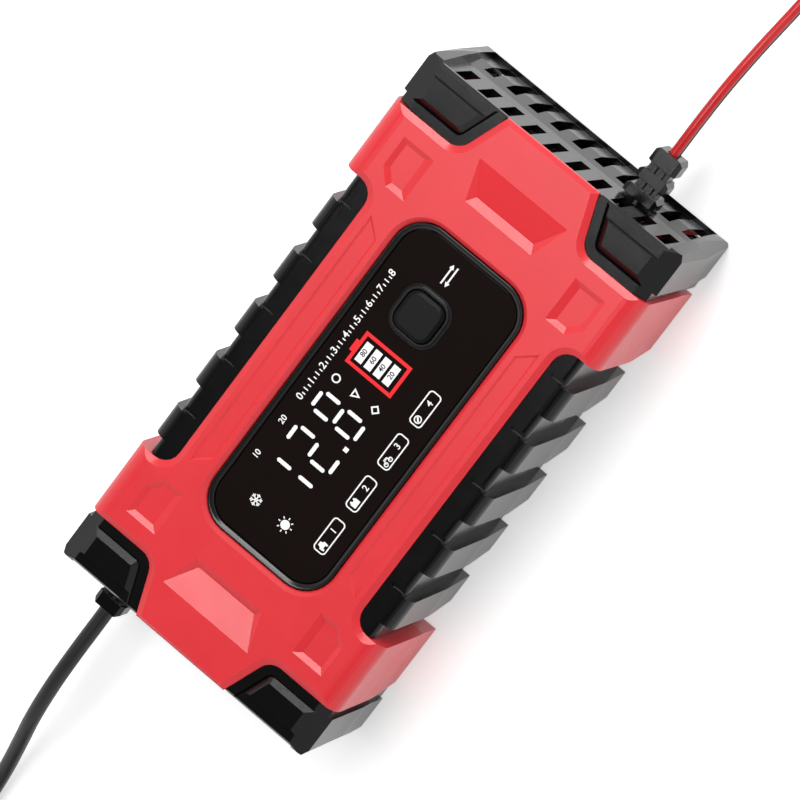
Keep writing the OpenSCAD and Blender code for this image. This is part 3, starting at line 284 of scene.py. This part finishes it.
def coil_path(centre, r_out, pitch, turns, a0, z0, z1, lead_in, steps=24):
    """Spirals in, climbs half a turn and spirals out again. The ends run straight."""
    count = round(turns * steps)
    half = steps // 2
    r_in = r_out - pitch * turns

    def at(i, r, z):
        a = math.radians(a0 + 360.0 * i / steps)
        return Vector((centre[0] + r * math.cos(a), centre[1] + r * math.sin(a), z))

    def tangent(turned):
        a = math.radians(a0 + 360.0 * turned)
        return Vector((-math.sin(a), math.cos(a), 0.0))

    loop = [at(i, r_out - pitch * i / steps, z0) for i in range(count + 1)]
    for i in range(1, half):
        k = i / half
        r = r_in - 0.5 * pitch * math.sin(math.pi * k)
        loop.append(at(count + i, r, z0 + (z1 - z0) * eased(k)))
    loop += [at(count + half + i, r_in + pitch * i / steps, z1) for i in range(count + 1)]
    first = loop[0] - tangent(0.0) * lead_in
    last = loop[-1] + tangent(2.0 * turns + 0.5) * lead_in
    return [first, *loop, last]


def spline(points, steps):
    """A smooth path through chosen points."""
    p = [Vector(q) for q in points]
    out = []
    for i in range(len(p) - 1):
        a, b, c, d = p[max(i - 1, 0)], p[i], p[i + 1], p[min(i + 2, len(p) - 1)]
        slope, bend, twist = c - a, 2 * a - 5 * b + 4 * c - d, 3 * b - a - 3 * c + d
        for k in range(steps):
            t = k / steps
            out.append(0.5 * (2 * b + slope * t + bend * t * t + twist * t**3))
    return [*out, p[-1]]


RELIEF_X, LEAD_Z = 99.5, 31.0
EXIT_X = RELIEF_X - 6.0
TIE_T = 0.8
TIE_CLEAR = 0.05
LAYER_GAP = 0.5
# from the middle of a coil's six-sided section to its flat side, as a share of its diameter
FLAT = math.cos(math.radians(30.0)) / 2.0

MAINS_D, MAINS_Y, MAINS_R = 5.3, 33.0, 39.0
MAINS_PITCH, MAINS_TURNS = MAINS_D + 0.6, 2.0
mains_z0 = TIE_T + MAINS_D * FLAT + TIE_CLEAR
mains_z1 = mains_z0 + MAINS_D + LAYER_GAP
mains_centre = (-238.0, MAINS_Y - MAINS_R)
mains_coil = coil_path(
    mains_centre, MAINS_R, MAINS_PITCH, MAINS_TURNS, 90.0, mains_z0, mains_z1, MAINS_D
)
mains_route = [
    (-EXIT_X, MAINS_Y, LEAD_Z), (-104, MAINS_Y, LEAD_Z), (-119, MAINS_Y, LEAD_Z),
    (-134, MAINS_Y, LEAD_Z), (-147, MAINS_Y, LEAD_Z - 1.6), (-161, MAINS_Y, 24.6), (-174, MAINS_Y, 16.8),
    (-187, MAINS_Y, 9.4), (-201, MAINS_Y, 4.8), (-214, MAINS_Y, mains_z0 + 0.2),
    mains_coil[0] + Vector((5, 0, 0)),
]
PLUG_X, PLUG_T, PLUG_CLEAR = -232.0, 14.0, 0.3
TAIL_X, TAIL_R, TAIL_STEPS = PLUG_X + 7.0, 22.5, 36
plug_y = MAINS_Y - 2.0 * MAINS_R + 2.0 * TAIL_R
plug_axis = mains_z1 + MAINS_D / 2.0 + PLUG_CLEAR + PLUG_T / 2.0


def tail_point(k):
    """The mains tail's bend: half a turn, from the coil's end at k = 0 up to the plug at k = 1."""
    x = TAIL_X + TAIL_R * math.sin(math.pi * k)
    y = plug_y - TAIL_R * (1.0 + math.cos(math.pi * k))
    return Vector((x, y, mains_z1 + (plug_axis - mains_z1) * eased(k)))


mains_tail = [tail_point(i / TAIL_STEPS) for i in range(TAIL_STEPS + 1)]
mains_tail.append(Vector((PLUG_X, plug_y, plug_axis)))

OUT_Y, CORE_D, OUT_R = -24.4, 3.2, 37.4
OUT_PITCH, OUT_TURNS = CORE_D + 0.7, 1.25
CORE_LIFT = CORE_D * FLAT + 0.03
out_z0 = TIE_T + 2.0 * CORE_LIFT + TIE_CLEAR
out_z1 = out_z0 + 2.0 * CORE_D + LAYER_GAP
out_centre = (216.0, OUT_Y + OUT_R)
out_coil = coil_path(out_centre, OUT_R, OUT_PITCH, OUT_TURNS, -90.0, out_z0, out_z1, 2.0 * CORE_D)
out_route = [
    (EXIT_X, OUT_Y, LEAD_Z), (104, OUT_Y, LEAD_Z), (119, OUT_Y, LEAD_Z), (133, OUT_Y, LEAD_Z),
    (146, OUT_Y, LEAD_Z - 2.0), (159, OUT_Y, 23.6), (171, OUT_Y, 16.2), (183, OUT_Y, 9.4),
    (194, OUT_Y, out_z0 + 1.4), out_coil[0] - Vector((6, 0, 0)),
]
RED_CLAMP_X, BLACK_CLAMP_X = 272.0, 299.0
# from a clamp's pin back to the middle of its crimp
CRIMP_BACK = 8.7
clamp_y = OUT_Y + 16.4
red_end = out_coil[-1] + Vector((0, 0, CORE_LIFT))
black_end = out_coil[-1] - Vector((0, 0, CORE_LIFT))
red_tail = [
    red_end + Vector((6, 0, 0)), (237, OUT_Y - 0.6, 10.6), (246, OUT_Y - 0.2, 6.9), (254, OUT_Y + 2.9, 4.4),
    (260, OUT_Y + 8.3, 4), (262.9, OUT_Y + 14, 5.2), (RED_CLAMP_X - CRIMP_BACK, clamp_y + 2, 6),
    (RED_CLAMP_X - CRIMP_BACK, clamp_y + 4, 6),
]
black_tail = [
    black_end + Vector((6, 0, 0)), (237, OUT_Y - 1.8, 6.9), (247, OUT_Y - 4.3, 3.7), (258, OUT_Y - 5.8, 1.9),
    (270, OUT_Y - 4.5, 1.8), (280, OUT_Y + 0.6, 2.3), (287, OUT_Y + 7.6, 3.8), (290, OUT_Y + 14, 5.3),
    (BLACK_CLAMP_X - CRIMP_BACK, clamp_y + 2, 6), (BLACK_CLAMP_X - CRIMP_BACK, clamp_y + 4, 6),
]
ROUTE_STEPS = 6
COIL_STEPS = 3
LEAST_STEP = 0.4


def lifted(points, lift):
    """The path of a core that lies above or below the twin lead's own line."""
    out = []
    for i, p in enumerate(points):
        along = unit(points[min(i + 1, len(points) - 1)] - points[max(i - 1, 0)])
        side = unit(Vector((0, 0, 1)).cross(along))
        out.append(p + lift * along.cross(side))
    return out


def joined(*runs):
    """Runs joined end to end, without the points that nearly repeat the last one."""
    out = list(runs[0])
    for run in runs[1:]:
        out += [p for p in run if (p - out[-1]).length > LEAST_STEP]
    return out


def lead(name, points, diameter, slot):
    """A round lead as a curve of one open spline."""
    data = bpy.data.curves.new(name, "CURVE")
    data.dimensions = "3D"
    line = data.splines.new("POLY")
    line.points.add(len(points) - 1)
    for knot, p in zip(line.points, points):
        knot.co = (p.x * MM, p.y * MM, p.z * MM, 1.0)
    line.use_smooth = True
    data.bevel_depth = diameter / 2.0 * MM
    data.bevel_resolution = 7
    data.use_fill_caps = True
    data.materials.append(MATERIALS[slot])
    obj = placed(name, data)
    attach(obj, "charger")
    return obj


mains_line = joined(spline(mains_route, ROUTE_STEPS), spline(mains_coil, COIL_STEPS), mains_tail)
twin_line = joined(spline(out_route, ROUTE_STEPS), spline(out_coil, COIL_STEPS))
red_line = joined(lifted(twin_line, CORE_LIFT), spline(red_tail, ROUTE_STEPS))
black_line = joined(lifted(twin_line, -CORE_LIFT), spline(black_tail, ROUTE_STEPS))
mains = lead("mains_cable", mains_line, MAINS_D, "lead_black")
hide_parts("mains_lead", "mains_coil", "mains_tail")
red_core = lead("output_core_red", red_line, CORE_D, "lead_red")
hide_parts("output_lead_red", "output_coil_red", "output_tail_red")
black_core = lead("output_core_black", black_line, CORE_D, "lead_black")
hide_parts("output_lead_black", "output_coil_black", "output_tail_black")

# ---------------------------------------------------------------- softened edges
# Corners of the mesh closer than WELD are one, and faces that turn by less than COPLANAR degrees are one.
WELD = 0.000004
COPLANAR = 0.6
# An edge is rounded if it turns by SHARP degrees. Below that it is shaded smooth, but a turn of CREASE
# degrees between two faces of more than FLAT_AREA, in square metres, still shows as a line.
SHARP = 17.0
CREASE = 2.5
FLAT_AREA = 9e-6
# the width of each solid's rounded edges, in millimetres
EDGES = {
    "top_cover": 0.45,
    "vent_end_cap": 0.4,
    "mains_end_cap": 0.4,
    "left_grip": 0.5,
    "right_grip": 0.5,
    "panel_frame": 0.25,
    "panel_lens": 0.15,
    "button_collar": 0.25,
    "mode_button": 0.5,
    "mains_strain_relief": 0.4,
    "output_strain_relief": 0.4,
    "mains_plug": 0.8,
    "clamp_red_lower": 0.25,
    "clamp_red_upper": 0.25,
    "clamp_black_lower": 0.25,
    "clamp_black_upper": 0.25,
}


def cleaned(source, name):
    """A copy of a solid's mesh: flat faces made whole, creases marked and concave faces split."""
    data = source.copy()
    data.name = name
    work = bmesh.new()
    work.from_mesh(data)
    bmesh.ops.remove_doubles(work, verts=work.verts, dist=WELD)
    bmesh.ops.dissolve_limit(
        work,
        angle_limit=math.radians(COPLANAR),
        verts=work.verts,
        edges=work.edges,
        use_dissolve_boundaries=False,
    )
    for edge in work.edges:
        if len(edge.link_faces) == 2:
            turn = math.degrees(edge.calc_face_angle(0.0))
            flats = min(face.calc_area() for face in edge.link_faces) > FLAT_AREA
            edge.smooth = turn < (CREASE if flats else SHARP)
    bmesh.ops.connect_verts_concave(work, faces=work.faces)
    work.to_mesh(data)
    work.free()
    for poly in data.polygons:
        poly.use_smooth = True
    return data


def softened(node, width):
    """A copy of a solid with its edges rounded, standing for the solid."""
    name = node + "_soft"
    obj = placed(name, cleaned(NODES[node].data, name))
    bevel = obj.modifiers.new("edges", "BEVEL")
    bevel.limit_method = "ANGLE"
    bevel.angle_limit = math.radians(SHARP)
    bevel.width = width * MM
    bevel.segments = 2
    bevel.miter_outer = "MITER_ARC"
    bevel.face_strength_mode = "FSTR_ALL"
    even = obj.modifiers.new("even", "WEIGHTED_NORMAL")
    even.use_face_influence = True
    even.keep_sharp = True
    bpy.context.view_layer.update()
    baked = bpy.data.meshes.new_from_object(obj.evaluated_get(bpy.context.evaluated_depsgraph_get()))
    obj.modifiers.clear()
    obj.data = baked
    baked.materials.clear()
    baked.materials.append(MATERIALS[slot_of[node]])
    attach(obj, body_of[node])
    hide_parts(node)


for name, width in EDGES.items():
    softened(name, width)

# ---------------------------------------------------------------- marks on the lens
# Places are in millimetres from the middle of the case.
PRINT_LIFT = 0.04
PRINT_STEP = 0.03
lens = NODES["panel_lens"]
PRINT_Z = max((lens.matrix_world @ v.co).z for v in lens.data.vertices) / MM + PRINT_LIFT
# a digit's height as a share of the font's size, and how far its outline grows as a share of its height
DIGIT_SHARE = 0.7
DIGIT_BOLD = 0.02


def printed(name, shapes, slot):
    """Flat marks on the lens, one mesh of outlines given in millimetres."""
    verts, faces = [], []
    for shape in shapes:
        faces.append(tuple(range(len(verts), len(verts) + len(shape))))
        verts += [(x * MM, y * MM, PRINT_Z * MM) for x, y in shape]
    data = bpy.data.meshes.new(name)
    data.from_pydata(verts, [], faces)
    data.materials.append(MATERIALS[slot])
    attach(placed(name, data), "charger")


def number(digits, x, y, height, slot="glowing_print_white", z=PRINT_Z):
    """A plain number, centred at x, y."""
    name = "number_%s_%d_%d" % (digits, round(x), round(y))
    data = bpy.data.curves.new(name, "FONT")
    data.body = digits
    data.size = height / DIGIT_SHARE * MM
    data.offset = DIGIT_BOLD * height * MM
    data.align_x = "CENTER"
    data.align_y = "CENTER"
    data.materials.append(MATERIALS[slot])
    obj = placed(name, data)
    obj.location = (x * MM, y * MM, z * MM)
    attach(obj, "charger")


def bar(x0, x1, y0, y1):
    return [(x0, y0), (x1, y0), (x1, y1), (x0, y1)]


# at a sharp turn, a line's corner reaches out no further than half its width over this
LEAST_COSINE = 0.4
NO_LENGTH = 1e-9


def stroke(points, width, closed=False):
    """A line of even width along points, as one four-cornered piece per step."""
    p = [Vector((*q, 0.0)) for q in points]
    n = len(p)
    sides = []
    for i in range(n):
        ahead = p[(i + 1) % n] if closed or i < n - 1 else p[i]
        behind = p[i - 1] if closed or i > 0 else p[i]
        a, b = p[i] - behind, ahead - p[i]
        a = unit(a) if a.length > NO_LENGTH else unit(b)
        b = unit(b) if b.length > NO_LENGTH else a
        along = unit(a + b)
        out = Vector((-along.y, along.x, 0.0)) * (width / 2.0 / max(LEAST_COSINE, along.dot(a)))
        sides.append(((p[i] - out).to_2d(), (p[i] + out).to_2d()))
    pieces = []
    for i in range(n if closed else n - 1):
        (a0, a1), (b0, b1) = sides[i], sides[(i + 1) % n]
        pieces.append([tuple(a0), tuple(b0), tuple(b1), tuple(a1)])
    return pieces


def polar(x, y, r, a):
    """The point at the distance r from x, y in the direction a, in radians."""
    return (x + r * math.cos(a), y + r * math.sin(a))


def round_points(x, y, r, steps=24, start=0.0, sweep=360.0):
    """Points of a circle, or of an arc with both its ends."""
    count = steps if sweep == 360.0 else steps + 1
    return [polar(x, y, r, math.radians(start + sweep * i / steps)) for i in range(count)]


def rounded_box(x0, x1, y0, y1, r):
    """The outline of a box with a quarter circle at each corner."""
    corners = ((x1 - r, y1 - r), (x0 + r, y1 - r), (x0 + r, y0 + r), (x1 - r, y0 + r))
    out = []
    for i, (cx, cy) in enumerate(corners):
        out += round_points(cx, cy, r, 6, 90 * i, 90.0)
    return out


def spokes(x, y, r0, r1, count, width):
    """Short lines that point away from x, y all round."""
    out = []
    for i in range(count):
        a = 2.0 * math.pi * i / count
        out += stroke([polar(x, y, r, a) for r in (r0, r1)], width)
    return out


# three seven-bar figures with a point before the last
FIGURE_TOP, FIGURE_MID, FIGURE_LOW = 13.7, 4.9, -3.7
FIGURE_UPPER, FIGURE_LOWER = (6.8, 12.4), (-2.1, 3.6)
FIGURE_T = 1.35
FIGURE_INSET = 1.3
FIGURE_CUT = 0.45
BARS_OF = {"1": "bc", "2": "abged", "8": "abcdefg"}


def segment(x0, y0, x1, y1):
    """One bar of a seven-bar figure, with cut corners at its ends."""
    h, c = FIGURE_T / 2.0, FIGURE_CUT
    if y0 == y1:
        return [
            (x0, y0 - h + c), (x0 + c, y0 - h), (x1 - c, y0 - h), (x1, y0 - h + c),
            (x1, y0 + h - c), (x1 - c, y0 + h), (x0 + c, y0 + h), (x0, y0 + h - c),
        ]
    return [
        (x0 - h + c, y0), (x0 + h - c, y0), (x0 + h, y0 + c), (x0 + h, y1 - c),
        (x0 + h - c, y1), (x0 - h + c, y1), (x0 - h, y1 - c), (x0 - h, y0 + c),
    ]


def figure(digit, x0, x1):
    """The lit bars of a digit between x0 and x1, named a to g as on any such display."""

    def level(y):
        return (x0 + FIGURE_INSET, y, x1 - FIGURE_INSET, y)

    def upright(x, ends):
        return (x, ends[0], x, ends[1])

    left, right = x0 + FIGURE_T / 2.0, x1 - FIGURE_T / 2.0
    place = {
        "a": level(FIGURE_TOP),
        "g": level(FIGURE_MID),
        "d": level(FIGURE_LOW),
        "b": upright(right, FIGURE_UPPER),
        "c": upright(right, FIGURE_LOWER),
        "e": upright(left, FIGURE_LOWER),
        "f": upright(left, FIGURE_UPPER),
    }
    return [segment(*place[key]) for key in BARS_OF[digit]]


printed(
    "display_figures",
    [
        *figure("1", -37.8, -30.0),
        *figure("2", -25.0, -17.2),
        *figure("8", -11.6, -3.5),
        bar(-15.1, -13.5, -4.2, -2.6),
    ],
    "glowing_print_white",
)

# a ring, a triangle and a diamond beside the figures
MARK_LINE = 0.5
printed(
    "display_marks",
    [
        *stroke(round_points(1.4, 12.7, 1.3, 20), MARK_LINE, True),
        *stroke([(0.2, 5.7), (2.6, 5.7), (1.4, 3.4)], MARK_LINE, True),
        *stroke([(1.6, -1.8), (3.0, -3.2), (1.6, -4.6), (0.2, -3.2)], MARK_LINE, True),
    ],
    "glowing_print_white",
)

# two plain numbers above the figures, and a scale of numbers with three ticks between each two
SCALE_X, SCALE_Y, SCALE_STEP, SCALE_LAST = -10.6, 18.5, 6.2, 8
TICK_LOW, TICK_TOP, TICK_MORE, TICK_HALF = 17.5, 18.7, 0.6, 0.2
number("20", -19.9, 18.4, 2.0)
number("10", -33.9, 18.5, 2.0)
for i in range(SCALE_LAST + 1):
    number(str(i), SCALE_X + SCALE_STEP * i, SCALE_Y, 2.4)
ticks = []
for i in range(SCALE_LAST):
    for quarter in (1, 2, 3):
        x = SCALE_X + SCALE_STEP * i + SCALE_STEP / 4 * quarter
        top = TICK_TOP + TICK_MORE * (quarter == 2)
        ticks.append(bar(x - TICK_HALF, x + TICK_HALF, TICK_LOW, top))
printed("scale_ticks", ticks, "glowing_print_white")

# battery gauge: four cells with a number on each
CELL_X, CELL_Y, CELL_STEP = (9.9, 17.0), (9.1, 11.8), 3.73
cells = [(CELL_Y[0] - CELL_STEP * i, CELL_Y[1] - CELL_STEP * i) for i in range(4)]
battery_outline = [*stroke(bar(8.1, 19.0, -4.2, 13.3), 1.2, True), bar(11.3, 15.6, 13.9, 15.0)]
printed("battery_outline", battery_outline, "glowing_print_red")
printed("battery_bars", [bar(*CELL_X, y0, y1) for y0, y1 in cells], "glowing_print_white")
for share, (y0, y1) in zip(("80", "60", "40", "20"), cells):
    number(share, 13.4, (y0 + y1) / 2.0, 1.7, "print_black", PRINT_Z + PRINT_STEP)

# two arrows beside the button, one each way: it steps through the modes
ARROWS_X, ARROWS_Y = 49.8, 3.5
SHAFT_HALF, HEAD_HALF, HEAD_L = 0.28, 0.85, 1.6
arrows = []
for side in (-1, 1):
    tip, tail = ARROWS_X + side * 3.7, ARROWS_X - side * 3.6
    y = ARROWS_Y + side * HEAD_HALF
    neck = tip - side * HEAD_L
    arrows.append(bar(tail, neck, y - SHAFT_HALF, y + SHAFT_HALF))
    arrows.append([(neck, y - HEAD_HALF), (tip, y), (neck, y + HEAD_HALF)])
printed("mode_arrows", arrows, "glowing_print_white")

# a snowflake for winter and a sun for summer
FLAKE = (-45.6, 9.9)
SUN = (-45.7, -2.3)
BARB_TURN = 0.35
flake = spokes(*FLAKE, 0.0, 2.1, 6, 0.42)
for i in range(6):
    a = math.pi / 3.0 * i
    for side in (-1, 1):
        barb = [polar(*FLAKE, 1.1, a), polar(*FLAKE, 1.9, a + BARB_TURN * side)]
        flake += stroke(barb, 0.34)
sun = [round_points(*SUN, 1.6), *spokes(*SUN, 2.0, 2.7, 8, 0.4)]
printed("season_marks", [*flake, *sun], "glowing_print_white")

# four mode boxes, each with a small picture and a plain number
BOXES = ((-45.6, -32.8), (-28.3, -15.7), (-11.3, 1.3), (5.8, 18.5))
BOX_Y = (-18.1, -13.3)
BOX_MIDDLE = -15.75
BOX_INSET, BOX_LINE, BOX_R = 0.22, 0.45, 1.2
boxes = []
for i, (x0, x1) in enumerate(BOXES):
    outline = rounded_box(
        x0 + BOX_INSET, x1 - BOX_INSET, BOX_Y[0] + BOX_INSET, BOX_Y[1] - BOX_INSET, BOX_R
    )
    boxes += stroke(outline, BOX_LINE, True)
    number(str(i + 1), x0 + 8.6, BOX_MIDDLE, 2.2)
printed("mode_boxes", boxes, "glowing_print_white")

car_front = [
    bar(-44.4, -41.6, -16.5, -15.4),
    [(-44.0, -15.4), (-42.0, -15.4), (-42.4, -14.4), (-43.6, -14.4)],
    bar(-44.3, -43.6, -17.1, -16.5),
    bar(-42.4, -41.7, -17.1, -16.5),
]
battery_block = [
    bar(-27.0, -24.2, -17.0, -15.0),
    bar(-26.7, -26.0, -15.0, -14.5),
    bar(-25.2, -24.5, -15.0, -14.5),
]
WHEELS = ((-9.6, -16.4), (-7.4, -16.4))
two_wheeler = [
    *stroke(round_points(*WHEELS[0], 0.65, 12), 0.35, True),
    *stroke(round_points(*WHEELS[1], 0.65, 12), 0.35, True),
    *stroke([WHEELS[0], (-9.0, -15.1), (-7.9, -15.1), WHEELS[1]], 0.45),
    bar(-9.3, -8.2, -15.5, -14.8),
]
crossed_ring = [
    *stroke(round_points(8.1, BOX_MIDDLE, 1.15, 16), 0.4, True),
    *stroke([(7.5, -16.3), (8.7, -15.2)], 0.6),
]
printed("mode_pictures", [*car_front, *battery_block, *two_wheeler, *crossed_ring], "glowing_print_white")

# ---------------------------------------------------------------- floor and light
FLOOR_HALF = 9.0
FLOOR_DROP = 0.0002
# the floor glows for the camera, and a share of that in the object's reflections
FLOOR_GLOW = 0.5
MIRROR_SHARE = 0.6

floor_mesh = bpy.data.meshes.new("floor")
floor_corners = bar(-FLOOR_HALF, FLOOR_HALF, -FLOOR_HALF, FLOOR_HALF)
floor_mesh.from_pydata([(x, y, 0.0) for x, y in floor_corners], [], [(0, 1, 2, 3)])
floor = placed("floor", floor_mesh)
floor.location.z = -FLOOR_DROP
pale = Shader(
    "pale_floor",
    Roughness=0.9,
    Base_Color=linear(243, 243, 243),
    Specular_IOR_Level=0.0,
    Emission_Color=WHITE,
)
path = pale.node("ShaderNodeLightPath")
seen = pale.node("ShaderNodeMath", operation="MAXIMUM")
pale.link(path.outputs["Is Camera Ray"], seen.inputs[0])
pale.link(pale.scaled(path.outputs["Is Glossy Ray"], MIRROR_SHARE), seen.inputs[1])
pale.feed(pale.scaled(seen.outputs[0], FLOOR_GLOW), "Emission Strength")
floor_mesh.materials.append(pale.mat)

# A pale room with a dark ceiling, as (height, brightness): 0 is the horizon or lower, and 1 straight up.
# The camera itself sees plain white.
SKY = ((0.0, 1.0), (0.35, 0.8), (0.62, 0.35), (0.85, 0.06), (1.0, 0.04))
world = bpy.data.worlds.new("studio")
bpy.context.scene.world = world
world.use_nodes = True
room = Nodes(world.node_tree)
direction = room.node("ShaderNodeTexCoord").outputs["Generated"]
split = room.node("ShaderNodeSeparateXYZ")
room.link(direction, split.inputs[0])
sky = room.ramp(split.outputs["Z"], [(height, (level, level, level, 1.0)) for height, level in SKY])
mix = room.node("ShaderNodeMix", data_type="RGBA")
mix.inputs["B"].default_value = WHITE
room.link(room.node("ShaderNodeLightPath").outputs["Is Camera Ray"], mix.inputs["Factor"])
room.link(sky, mix.inputs["A"])
background = world.node_tree.nodes["Background"]
background.inputs["Strength"].default_value = 1.0
room.link(mix.outputs["Result"], background.inputs["Color"])


def softbox(name, place, size, watts, aim=(0.0, 0.0, 0.0)):
    """A rectangular light that faces the point aim."""
    data = bpy.data.lights.new(name, "AREA")
    data.shape = "RECTANGLE"
    data.size, data.size_y = size
    data.energy = watts
    lamp = placed(name, data)
    lamp.location = place
    lamp.rotation_euler = (Vector(aim) - Vector(place)).to_track_quat("-Z", "Y").to_euler()


softbox("key", (1.14, 0.29, 1.09), (0.5, 0.5), 8.0)
softbox("overhead", (0.2, 0.26, 1.5), (0.7, 0.6), 10.5, (0.2, 0.26, 0.0))
